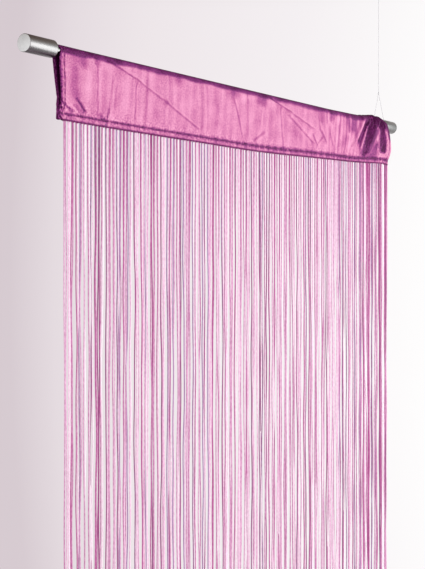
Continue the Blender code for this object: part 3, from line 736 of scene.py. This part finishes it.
def relief(at, face):
    """How far the cloth stands out of its section at its folds, bulges, puckers, grooves and crumples."""
    x, z, start = at.x, at.z, face.start
    fade = np.maximum(0.0, 1 - np.clip((at.seam + FOLD_FADE - z) / FOLD_FADE, 0.0, 1.0) ** 2)
    share = FOLD_SHARE + (1 - FOLD_SHARE) * at.gathered
    fold = fold_height(face.folds, x, z) * share * fade * at.free
    room = np.maximum(at.depth - PANEL_CLEAR, LEAST_ROOM)
    fold = np.where(fold < 0, room * (np.exp(np.minimum(fold, 0.0) / room) - 1), fold)
    fold += bell(z, BULGE_HEIGHT, BULGE_FADE) * at.free * (x < BULGE_END) * ripples(BULGES, x, start)
    fold += np.exp(-np.abs(z - at.seam) / PUCKER_FADE) * ripples(PUCKERS, x, start)
    fold += at.bunched * ripple(BUNCH, at.places, start)
    for from_edge in (at.from_left, at.from_right):
        fold -= STITCH_GROOVE * bell(from_edge, HEM_WIDTH, STITCH_GROOVE_HALF) * at.free
    fold -= HEM_CURL * np.exp(-at.from_left / HEM_CURL_REACH) * at.free
    crumple = uneven_wave(z + CRUMPLE_SLANT * x, CRUMPLE_PITCH, start)
    fold += CRUMPLE * at.corner * crumple * uneven_wave(x + CROSS_SLANT * z, CROSS_PITCH, start)
    return fold - STITCH_GROOVE * bell(z, seam_height(at), STITCH_GROOVE_HALF)


def shading(at, face, fold):
    """How far the satin turns to its purple at its hems, seam, band, hollows and corner, and in streaks: much
    of it painted shade.
    """
    x, z, start = at.x, at.z, face.start
    # Painted shade in the gather's hollows, deeper where the cloth is pushed in, and under its bunched top.
    shade = HOLLOW_SHADE * at.gathered * np.clip(-fold / HOLLOW_DEPTH, 0.0, 1.0) + BUNCH_SHADE * at.bunched
    hem_uneven = HEM_EVEN + (1 - HEM_EVEN) * uneven_wave(z, HEM_PITCH, start)
    for from_edge in (at.from_left, at.from_right):
        # Dark line at each hem's stitches: partly their dark thread, partly painted shade in their groove.
        shade += HEM_SHADE * bell(from_edge, HEM_WIDTH, HEM_SHADE_HALF) * hem_uneven
    # Painted light and shade along the crumples in the corner, and streaks.
    shade += at.corner * ripple(CORNER_PAINTED_LIGHT_AND_SHADE, z + CRUMPLE_SLANT * x, start) + ripple(STREAK, x, start)
    shade += ripple(NARROW_STREAK, x, start) * bell(x, NARROW_MIDDLE, NARROW_REACH)
    seam_half = SEAM_SHADE_HALF * (1 + SEAM_WIDENS * smooth_step(*SEAM_WIDENS_FROM, x))
    seam_uneven = SEAM_EVEN + ripples(SEAM_UNEVEN, x, start)
    # Dark line along the seam: partly its stitches, partly painted shadow of its puckers.
    shade += SEAM_SHADE * seam_uneven * bell(z, seam_height(at), seam_half)
    shade += EDGE_SHADE * smooth_step(*EDGE_SHADE_FROM, at.band_down)
    mottle = ripple(MOTTLES[0], x, start) * ripple(MOTTLES[1], x, start)
    shade += BAND_MOTTLE * bell(at.band_down, MOTTLE_MIDDLE, MOTTLE_REACH) * (1 + mottle)
    shade += LEFT_HEM_SHADE * smooth_step(LEFT_HEM_WIDTH, 0.0, at.from_left)
    right_hem = smooth_step(RIGHT_HEM_WIDTH, 0.0, at.from_right) * smooth_step(*RIGHT_HEM_HEIGHTS, z)
    return shade + RIGHT_HEM_SHADE * right_hem


def cloth(places, face, ways):
    """Outer face of one side of the sleeve: a row for each place along the band, a column for each way down.

    Each point has its X, Y, Z, its shade, much of it painted shade, and its wear.
    """
    at = cloth_points(np.asarray(places)[:, None], face, np.asarray(ways)[None, :])
    crease_height, crease_shade = crease_marks(face.creases, at.x, at.z)
    fold = relief(at, face) + crease_height * at.free
    shade = shading(at, face, fold) + crease_shade
    drop = np.maximum(0.0, -at.z) / -at.bottom
    last_third = np.clip(at.band_down * 3 - 2, 0.0, 1.0)
    z = at.z - SCALLOP * (np.abs(np.sin(math.pi * (at.x - FIRST_PAIR) / PAIR_PITCH)) * last_third)
    worn = LEAST_WORN + bell(z, at.seam, WORN_SEAM_HALF) + smooth_step(2 * HEM_WIDTH, 0.0, at.from_left)
    worn = np.clip(worn + smooth_step(*WORN_GATHER, at.places), 0.0, 1.0)
    y = face.out * (at.depth + fold) + at.sway * drop * drop
    return np.stack([at.x, y, z, shade, worn], axis=-1)


def section_ways(panel_rows, band_rows):
    ways = [ARC_SHARE * k / ARC_ROWS for k in range(ARC_ROWS)]
    ways += [ARC_SHARE + PANEL_SHARE * k / panel_rows for k in range(panel_rows)]
    return ways + [1 - BAND_SHARE + BAND_SHARE * k / band_rows for k in range(band_rows + 1)]


def grid_normals(grid):
    """Unit normals of a grid of points, pointing out of the sleeve."""
    normals = np.cross(np.gradient(grid, axis=1), np.gradient(grid, axis=0))
    return normals / np.maximum(np.linalg.norm(normals, axis=-1, keepdims=True), 1e-12)


def sheet_faces(columns, rows):
    """Faces of a sheet from two grids, the outer one first in the point list, and of the rim between them."""
    outer = np.arange(columns * rows).reshape(columns, rows)
    quads = np.stack([outer[:-1, :-1], outer[:-1, 1:], outer[1:, 1:], outer[1:, :-1]], axis=-1).reshape(-1, 4)
    edge = np.concatenate([outer[0, :-1], outer[:-1, -1], outer[-1, :0:-1], outer[:0:-1, 0]])
    after = np.roll(edge, -1)
    count = columns * rows
    rim = np.stack([after, edge, edge + count, after + count], axis=-1)
    return np.concatenate([quads, count + quads[:, ::-1], rim]).tolist()


def tube_faces(rings, sides, first=0, downward=False):
    """Faces of a closed tube whose points come ring by ring, with other turns where the rings go downward."""
    index = first + np.arange(rings * sides).reshape(rings, sides)
    after = np.roll(index, -1, axis=1)
    quads = np.stack([index[:-1], after[:-1], after[1:], index[1:]], axis=-1).reshape(-1, 4)
    caps = [index[0, ::-1], index[-1]]
    if downward:
        quads = quads[:, [0, 3, 2, 1]]
        caps = [index[0], index[-1, ::-1]]
    return quads.tolist() + [cap.tolist() for cap in caps]


def new_mesh(name, points, faces, smooth=True):
    mesh = bpy.data.meshes.new(name)
    mesh.from_pydata(np.asarray(points).tolist(), [], faces)
    mesh.update()
    if smooth:
        mesh.shade_smooth()
    return mesh


def set_uv(mesh, coordinates):
    """UV map with a (u, v) for each point."""
    layer = mesh.uv_layers.new(name="cloth")
    corners = np.zeros(len(mesh.loops), np.int32)
    mesh.loops.foreach_get("vertex_index", corners)
    layer.data.foreach_set("uv", np.asarray(coordinates)[corners].astype(np.float32).ravel())


def set_value(mesh, name, values):
    layer = mesh.attributes.new(name, "FLOAT", "POINT")
    layer.data.foreach_set("value", np.asarray(values).astype(np.float32).ravel())


def satin_tone_with_painted_shade(grid, normals, shade):
    """How far the satin turns from its pink, 0, to its purple and the near black inside, 1, with painted
    shade added.
    """
    x, z = grid[..., 0], grid[..., 2]
    middle = TURN_HEIGHT + TURN_RISE * smooth_step(*TURN_RISES_FROM, x) - ripple(TURN_RIPPLE, x)
    fade = TURN_FADE + TURN_SOFTER * smooth_step(*TURN_SOFTER_FROM, x)
    up, left = normals[..., 2], -normals[..., 0]
    # Painted shade over the rod (partly the two-tone), and where the satin faces up or left, away from the
    # light.
    tone = TURN_TONE_AND_PAINTED_SHADE * smooth_step(middle - fade, middle + fade, z) + UP_PAINTED_SHADE * smooth_step(*UP_FROM, up)
    tone += LEFT_PAINTED_SHADE * np.clip((left - LEFT_FROM) / LEFT_REACH, 0.0, 1.0)
    tone = np.maximum(tone + shade, LEAST_TONE)
    over = np.maximum(tone - TONE_KNEE, 0.0)
    tone = np.minimum(tone, TONE_KNEE) + TONE_ROOM * (1 - np.exp(-over / TONE_SOFT))
    # Painted shade on tops that face up to the dim overhead.
    return tone + TOP_PAINTED_SHADE * smooth_step(*TOP_FROM, up)


def cloth_places():
    steps = np.linspace(LEFT_END, RIGHT_END, FINE_STEPS * COLUMNS)
    near_ends = bell(steps, LEFT_END, END_CROWD_REACH) + bell(steps, RIGHT_END, END_CROWD_REACH)
    crowd = 1 + END_CROWD * near_ends + smooth_step(*GATHER_CROWD, steps)
    run = np.cumsum(crowd) - crowd[0]
    return np.interp(np.linspace(0.0, run[-1], COLUMNS), run, steps)


def heading(material):
    """Satin sleeve as one thin closed sheet, from its band's back over the rod to its band's front."""
    places = cloth_places()
    front = cloth(places, FRONT, section_ways(*FRONT_ROWS))
    back = cloth(places, BACK, section_ways(*BACK_ROWS))
    both = np.concatenate([back[:, :0:-1], front], axis=1)
    grid, shade, worn = both[..., :3], both[..., 3], both[..., 4]
    normals = grid_normals(grid)
    columns, rows = grid.shape[:2]
    from_edge = np.tile(np.minimum(places - places[0], places[-1] - places)[:, None], (1, rows))
    thick = CLOTH_THICKNESS + HEM_EXTRA * (from_edge < HEM_WIDTH)
    inner = grid - normals * thick[..., None]
    points = np.concatenate([grid.reshape(-1, 3), inner.reshape(-1, 3)])
    mesh = new_mesh("satin_heading", points, sheet_faces(columns, rows))
    run = np.zeros((columns, rows))
    run[:, 1:] = np.cumsum(np.linalg.norm(np.diff(grid, axis=1), axis=-1), axis=1)
    flat = np.stack([np.tile(places[:, None], (1, rows)), run], axis=-1).reshape(-1, 2)
    set_uv(mesh, np.concatenate([flat, flat]))
    # Inner face: painted near black as shade inside the sleeve, paler where the hems are turned in.
    inner_face_painted_shade = TURNED_TONE + (1 - TURNED_TONE) * smooth_step(TURNED_FROM * HEM_WIDTH, HEM_WIDTH, from_edge)
    set_value(mesh, "tone", [satin_tone_with_painted_shade(grid, normals, shade), inner_face_painted_shade])
    set_value(mesh, "worn", [worn, worn])
    return add_piece("satin_heading", mesh, material, "heading")


def satin():
    """Satin that turns from pink to purple with its tone, much of it painted shade, in streaks, blotches,
    specks and worn marks.
    """
    material = new_material(
        "satin", Roughness=0.45, Sheen_Weight=0.03, Sheen_Roughness=0.4, Sheen_Tint=(1.0, 0.72, 0.88, 1.0),
        Specular_IOR_Level=0.10,
    )
    tree = material.node_tree
    place = cloth_place(tree)
    streaks = noise(stretched(place, 420.0, 45.0, 1.0), 1.0, 4.0, 0.6)
    blotches = noise(place, 38.0, 3.0, 0.55)
    specks = noise(place, 560.0, 2.0, 0.6)
    tone = calculate("SUBTRACT", attribute(tree, "tone"), TONE_OFFSET)
    for grain, share in ((streaks, 0.26), (blotches, 0.44), (specks, 0.70)):
        tone = calculate("MULTIPLY_ADD", grain, share, tone)
    marks = calculate("SUBTRACT", noise(place, 330.0, 2.0), 0.5)
    marks = calculate("MULTIPLY", marks, attribute(tree, "worn"))
    # Colour from the satin's pink through its purple and the painted shade to the near black inside the
    # sleeve.
    colour = ramp(
        calculate("ADD", marks, tone),
        (0.0, (0.78, 0.35, 0.54)), (0.25, (0.63, 0.22, 0.40)), (0.45, (0.45, 0.10, 0.28)),
        (0.70, (0.23, 0.032, 0.185)), (0.92, (0.11, 0.008, 0.085)), (1.0, (0.06, 0.004, 0.045)),
    )
    weave = calculate("MULTIPLY", bands(place, "X", 180.0, 0.6), bands(place, "Y", 90.0, 0.6))
    fine = bump(weave, 0.35, 0.00006)
    set_shader(material, Base_Color=colour, Normal=bump(streaks, 0.5, 0.0003, Normal=fine))
    return material


def capsules(name, starts, ends, normals, radii, material):
    """Short stitches of thread, each a rounded rod between two points that dips at both ends."""
    points, faces = [], []
    for start, end, normal, radius in zip(starts, ends, normals, radii):
        along = (end - start) / np.linalg.norm(end - start)
        ring = circle(STITCH_SIDES) @ (np.cross(along, normal), normal)
        faces += tube_faces(len(STITCH_RINGS), STITCH_SIDES, first=STITCH_SIDES * len(points))
        for share, size, rise in STITCH_RINGS:
            points.append(start + (end - start) * share + normal * radius * rise + radius * size * ring)
    mesh = new_mesh(name, np.concatenate(points), faces)
    return add_piece(name, mesh, material)


def cloth_line(places, face, ways):
    return cloth(places, face, ways)[..., :3].reshape(-1, 3)


def row_along_band(face, height, pitch, share):
    """Starts and ends of stitches along the band, at a share of its height."""
    places = np.arange(LEFT_END + STITCH_INSET, RIGHT_END - STITCH_INSET, pitch)
    way = [1 - height * BAND_SHARE]
    return cloth_line(places, face, way), cloth_line(places + pitch * share, face, way)


def row_down_hem(face, place):
    """The same down a mouth's hem, from beside the rod to the band."""
    step = HEM_STITCH_PITCH / PANEL_LENGTH
    ways = np.arange(HEM_STITCHES_FROM, 1 - BAND_SHARE, step)
    return cloth_line([place], face, ways), cloth_line([place], face, ways + step * HEM_STITCH_SHARE)


def row_over_edge(face):
    """The same over the band's lower edge, one at each pair of strings."""
    places = FIRST_PAIR + PAIR_PITCH * np.arange(STRAND_COUNT // 2)
    ends = cloth_line(places + EDGE_STITCH_SLANT, face, [1.0]) - (0.0, 0.0, EDGE_STITCH_DROP)
    return cloth_line(places, face, [1 - EDGE_STITCH_HEIGHT * BAND_SHARE]), ends


def stitches():
    """Thread of the two rows along the band, the overcast lower edge and the hems of both mouths."""
    thread = new_material("thread", Roughness=0.5, Sheen_Weight=0.1, Specular_IOR_Level=0.2)
    grain = add_node(thread.node_tree, "TexNoise", Scale=900.0, Detail=2.0).outputs["Fac"]
    set_shader(thread, Base_Color=ramp(grain, (0.3, (0.13, 0.018, 0.085)), (0.7, (0.24, 0.04, 0.17))))
    starts, ends, normals, radii = [], [], [], []
    for face in (FRONT, BACK):
        rows = [(EDGE_STITCH_RADIUS, row_over_edge(face))]
        rows += [(STITCH_RADIUS, row_along_band(face, *row)) for row in BAND_STITCHES]
        for place in (LEFT_END + HEM_WIDTH, RIGHT_END - HEM_WIDTH):
            rows.append((STITCH_RADIUS, row_down_hem(face, place)))
        for radius, (row_starts, row_ends) in rows:
            starts.extend(row_starts)
            ends.extend(row_ends)
            normals += [np.array([0.0, face.out, 0.0])] * len(row_starts)
            radii += [radius] * len(row_starts)
    return capsules("stitches", starts, ends, normals, radii, thread)


def stray(row, pair, slow):
    return row.reach * np.sin(pair * row.turn + row.start + row.drift * slow)


def strand_place(index, depth):
    """Where a strand is at depths under its root: X along the curtain, and how far it strays across it."""
    slow = depth / STRAND_LENGTH
    free = np.clip(depth / STRAY_DEPTH, 0.0, 1.0)
    pair, side = index // 2, 2 * (index % 2) - 1
    x = FIRST_PAIR + PAIR_PITCH * pair
    x = x + free * sum(stray(row, pair, slow) for row in WANDER_WAVES) + slow * stray(LEAN_WAVE, pair, slow)
    x = x + side * (STRING_PAIR_HALF + free * (SPLIT_WAVE.reach + stray(SPLIT_WAVE, pair, slow)))
    return np.stack([x, side * free * STRING_PAIR_DEPTH + slow * stray(ACROSS_WAVE, pair, slow)])


def string_tints(depth, base, chance):
    """Tint of a string down its length: slow waves, darker lower down, and, unless pale, painted shadow of
    the band near its root.
    """
    tint = base
    for (size, turn), phase in zip(TINT_WAVES, chance.uniform(0.0, 2 * math.pi, 2)):
        tint = tint + size * np.sin(depth * turn + phase)
    tint = tint + ROOT_PAINTED_SHADOW * np.exp(-depth / ROOT_PAINTED_SHADOW_REACH) * min(1.0, ROOT_PALE * base)
    return np.clip(tint + LOW_DARKER * smooth_step(*LOW_DARKER_FROM, depth), 0.0, 1.0)


def string_set(name, indices, material, chance):
    """Strings as one mesh of thin round yarns, each with its own tint, waver and cut length."""
    points, tints, runs, faces = [], [], [], []
    ring = circle(STRING_SIDES) @ ((1, 0, 0), (0, 1, 0))
    share = np.linspace(0.0, 1.0, STRING_RINGS)
    for index in indices:
        shape = station(FIRST_PAIR + PAIR_PITCH * (index // 2))
        length = STRAND_LENGTH + ROOT_DROP + ROOT_INSIDE + TIP_SPREAD * chance.uniform(-1.0, 1.0)
        depth = length * (RINGS_EVEN * share + (1 - RINGS_EVEN) * share * share)
        place = strand_place(index, np.maximum(depth - ROOT_INSIDE, 0.0))
        free = np.clip(depth / WAVER_DEPTH, 0.0, 1.0)
        for reach, pitch in WAVERS:
            phases = chance.uniform(0.0, 2 * math.pi, 2)[:, None]
            place = place + free * reach * np.sin(2 * math.pi * depth / pitch + phases)
        x, y = place
        at_end = x[0] > DARK_END
        # The left string of each pair is painted darker as its shaded side, the right one paler as its lit
        # side.
        shares = (PAINTED_SHADE_SHARES, PAINTED_LIGHT_SHARES)[index % 2]
        if at_end:
            # Of three pairs there, one is pale.
            shares = (PAINTED_LIGHT_SHARES, END_SHARES, END_SHARES)[index // 2 % 3]
        lean = sum(lean for start, end, lean in GROUPS if start <= x[0] < end)
        base = chance.choice(STRING_TINTS, p=shares) + chance.uniform(-TINT_SPREAD, TINT_SPREAD) + lean
        base = max(0.0, base)
        radius = STRING_RADIUS * chance.uniform(*STRING_SPREAD)
        radius = radius * (END_STOUT if at_end else PALE_STOUT - DARK_THINNER * base)
        centre = np.stack([x, y + shape.sway, shape.bottom + ROOT_INSIDE - depth], axis=-1)
        first = STRING_RINGS * STRING_SIDES * len(points)
        faces += tube_faces(STRING_RINGS, STRING_SIDES, first, downward=True)
        points.append((centre[:, None, :] + radius * ring).reshape(-1, 3))
        tints.append(np.repeat(string_tints(depth, base, chance), STRING_SIDES))
        across = STRING_APART * index + np.tile(np.arange(STRING_SIDES) / STRING_SIDES, STRING_RINGS)
        runs.append(np.stack([across, np.repeat(depth, STRING_SIDES)], axis=-1))
    mesh = new_mesh(name, np.concatenate(points), faces)
    set_value(mesh, "tint", np.concatenate(tints))
    set_uv(mesh, np.concatenate(runs))
    add_piece(name, mesh, material, "string_fringe")


def yarn():
    """Yarn whose tint, partly painted light and shade, goes from white to violet, with flecks, a soft fuzz
    and a twist.
    """
    material = new_material(
        "yarn", Roughness=0.5, Sheen_Weight=0.12, Sheen_Roughness=0.4, Sheen_Tint=(1.0, 0.85, 0.93, 1.0),
        Specular_IOR_Level=0.3,
    )
    place = cloth_place(material.node_tree)
    flecks = calculate("SUBTRACT", noise(stretched(place, 2.0, 210.0, 1.0), 1.0, 2.0), 0.5)
    colour = ramp(
        calculate("MULTIPLY_ADD", flecks, FLECK_SHARE, attribute(material.node_tree, "tint")),
        (0.0, (1.0, 0.92, 0.99)), (0.18, (0.97, 0.74, 0.89)), (0.34, (0.84, 0.49, 0.71)),
        (0.50, (0.61, 0.27, 0.48)), (0.66, (0.49, 0.085, 0.31)), (0.82, (0.28, 0.075, 0.21)),
        (1.0, (0.42, 0.25, 0.47)),
    )
    twist = bands(stretched(place, 1.0, 260.0, 1.0), "DIAGONAL", 0.33, 0.3)
    set_shader(material, Base_Color=colour, Normal=bump(twist, 0.6, 0.00015))
    return material


def root_tape(material):
    """Narrow woven strip that the strings are sewn to, inside the band with its lower edge just showing."""
    points = []
    for x in np.linspace(FIRST_PAIR - TAPE_PAST, LAST_PAIR + TAPE_PAST, TAPE_COLUMNS):
        shape = station(x)
        for side, z in ((-1, TAPE_TOP), (1, TAPE_TOP), (1, TAPE_LOW), (-1, TAPE_LOW)):
            points.append((x, shape.sway + side * TAPE_HALF, shape.bottom + z))
    mesh = new_mesh("root_tape", points, tube_faces(TAPE_COLUMNS, 4), smooth=False)
    set_value(mesh, "tint", np.full(len(points), TAPE_TINT))
    set_uv(mesh, [(x, z) for x, _, z in points])
    return add_piece("root_tape", mesh, material)


def metal():
    """Satin steel with fine rings round it and a slight grain."""
    material = new_material("brushed_metal", Metallic=1.0)
    place = add_node(material.node_tree, "TexCoord").outputs["Object"]
    rings = noise(stretched(place, 4200.0, 120.0, 120.0), 1.0, 3.0, 0.6)
    both = calculate("ADD", rings, noise(place, 950.0, 2.0))
    half = calculate("MULTIPLY", both, 0.5)
    colour = ramp(half, (0.35, (0.43, 0.43, 0.43)), (0.75, (0.60, 0.60, 0.60)))
    rough = add_node(material.node_tree, "MapRange", Value=half, To_Min=0.24, To_Max=0.42).outputs["Result"]
    set_shader(material, Base_Color=colour, Roughness=rough, Normal=bump(both, 0.25, 0.00004))
    return material


def turned(name, profile, material):
    """Round piece turned about X from (along, radius) points that start and end on the axis."""
    points = [(profile[0][0], 0.0, 0.0)]
    for along, radius in profile[1:-1]:
        points += [(along, radius * across, radius * up) for across, up in circle(METAL_SIDES)]
    points.append((profile[-1][0], 0.0, 0.0))
    top = 1 + (len(profile) - 3) * METAL_SIDES
    faces = []
    for k in range(METAL_SIDES):
        after = (k + 1) % METAL_SIDES
        faces.append((0, 1 + after, 1 + k))
        for low in range(1, top, METAL_SIDES):
            high = low + METAL_SIDES
            faces.append((low + k, low + after, high + after, high + k))
        faces.append((top + k, top + after, len(points) - 1))
    if profile[0][0] > profile[-1][0]:
        faces = [face[::-1] for face in faces]
    mesh = new_mesh(name, points, faces)
    mesh.set_sharp_from_angle(angle=math.radians(SHARP_ANGLE))
    add_piece(name + "_fine", mesh, material, name)


def quarter(centre, size, steps, start):
    """Quarter turn of a cylinder's outer edge round a centre along it, as (along, radius) points."""
    angles = [start + math.pi / 2 * k / steps for k in range(steps + 1)]
    return [(centre + size * math.cos(a), FINIAL_RADIUS - size + size * math.sin(a)) for a in angles]


def metal_pieces():
    material = metal()
    back = HALF_SPAN - FINIAL_LENGTH
    shoulder = back + COLLAR_LENGTH
    inside = back + FINIAL_BORE_DEPTH
    end = inside - GAP
    bore = ROD_RADIUS + ROUND_GAP
    turned("rod", ((-end, 0.0), (-end, ROD_RADIUS), (end, ROD_RADIUS), (end, 0.0)), material)
    profile = (
        (HALF_SPAN, 0.0), *quarter(HALF_SPAN - OUTER_CHAMFER, OUTER_CHAMFER, OUTER_STEPS, 0.0),
        *quarter(shoulder + INNER_ROUND, INNER_ROUND, INNER_STEPS, math.pi / 2),
        (shoulder, COLLAR_RADIUS), (back, COLLAR_RADIUS), (back, bore), (inside, bore), (inside, 0.0),
    )
    for name, out in (("finial_left", -1), ("finial_right", 1)):
        turned(name, [(out * along, radius) for along, radius in profile], material)


def floor():
    points = [(FLOOR_RADIUS * x, FLOOR_RADIUS * y, FLOOR_HEIGHT) for x, y in circle(FLOOR_SIDES)]
    mesh = new_mesh("floor", points, [range(FLOOR_SIDES)], smooth=False)
    material = new_material(
        "pale_floor", Base_Color=(0.84, 0.82, 0.82, 1.0), Roughness=0.8,
        Emission_Color=(1.0, 0.97, 0.98, 1.0), Emission_Strength=FLOOR_GLOW,
    )
    mesh.materials.append(material)
    made = add_object("floor", mesh)
    made.visible_glossy = False


def world():
    """Pale room, a little greyer to the left of the view, dim overhead and where the right-hand end faces."""
    made = bpy.data.worlds.new("world")
    made.use_nodes = True
    bpy.context.scene.world = made
    tree = made.node_tree
    place = add_node(tree, "TexCoord").outputs["Generated"]
    toward = add_node(tree, "VectorMath", operation="DOT_PRODUCT")
    feed(toward.inputs[0], place)
    feed(toward.inputs[1], DIM_DIRECTION)
    across = ramp(
        from_signed(toward.outputs["Value"]),
        (0.0, (1.65, 1.64, 1.65)), (0.08, (1.30, 1.28, 1.29)), (0.30, (0.95, 0.91, 0.93)),
        (0.50, (0.76, 0.70, 0.73)), (0.718, (0.67, 0.59, 0.63)), (0.735, (0.78, 0.71, 0.745)),
        (0.76, (0.85, 0.79, 0.815)), (0.81, (0.91, 0.87, 0.89)), (0.853, (0.99, 0.98, 0.98)),
        (0.92, (0.93, 0.92, 0.92)), (0.965, (0.58, 0.58, 0.58)), (0.985, (0.36, 0.375, 0.37)),
        (1.0, (0.31, 0.325, 0.32)),
    )
    overhead = ramp(
        from_signed(add_node(tree, "SeparateXYZ", Vector=place).outputs["Z"]),
        (0.22, (0.24, 0.225, 0.235)), (0.34, (0.60, 0.59, 0.595)), (0.385, (1.01, 1.01, 1.01)),
        (0.61, (1.0, 1.0, 1.0)), (0.65, (0.80, 0.79, 0.78)), (0.72, (0.46, 0.43, 0.41)),
        (0.80, (0.24, 0.20, 0.18)), (0.90, (0.14, 0.10, 0.08)),
    )
    mixed = add_node(tree, "Mix", data_type="RGBA", blend_type="MULTIPLY", Factor=1.0)
    feed(mixed.inputs[MIX_FIRST], across)
    feed(mixed.inputs[MIX_SECOND], overhead)
    feed(tree.nodes["Background"].inputs["Color"], mixed.outputs[MIX_RESULT])


def area_light(name, place, aim, side, power, in_metal=False):
    """Square soft light that doesn't show in the picture, and in the metal only if asked."""
    data = bpy.data.lights.new(name, "AREA")
    data.shape = "SQUARE"
    data.size = side
    data.energy = power
    made = add_object(name, data)
    made.location = place
    made.rotation_euler = (Vector(aim) - made.location).to_track_quat("-Z", "Y").to_euler()
    made.visible_camera = False
    made.visible_glossy = in_metal


def lights():
    area_light("key", (2.2, -2.3, 0.3), (0.0, 0.0, -0.7), side=3.0, power=58.0)
    area_light("fill", (-2.2, -2.8, 0.0), (0.0, 0.0, -0.9), side=3.0, power=38.0)
    area_light("top", (0.0, 0.0, 3.2), (0.0, 0.0, 0.0), side=5.0, power=30.0)
    area_light("glint", (1.82, -2.02, -0.54), (-0.47, 0.0, 0.0), side=2.2, power=24.0, in_metal=True)


camera()
hanging_line()
metal_pieces()
sleeve = heading(satin())
seams = stitches()
yarn_material = yarn()
chance = np.random.default_rng(CHANCE_START)
string_set("strings_front", range(0, STRAND_COUNT, 2), yarn_material, chance)
string_set("strings_back", range(1, STRAND_COUNT, 2), yarn_material, chance)
tape = root_tape(yarn_material)
floor()
world()
lights()
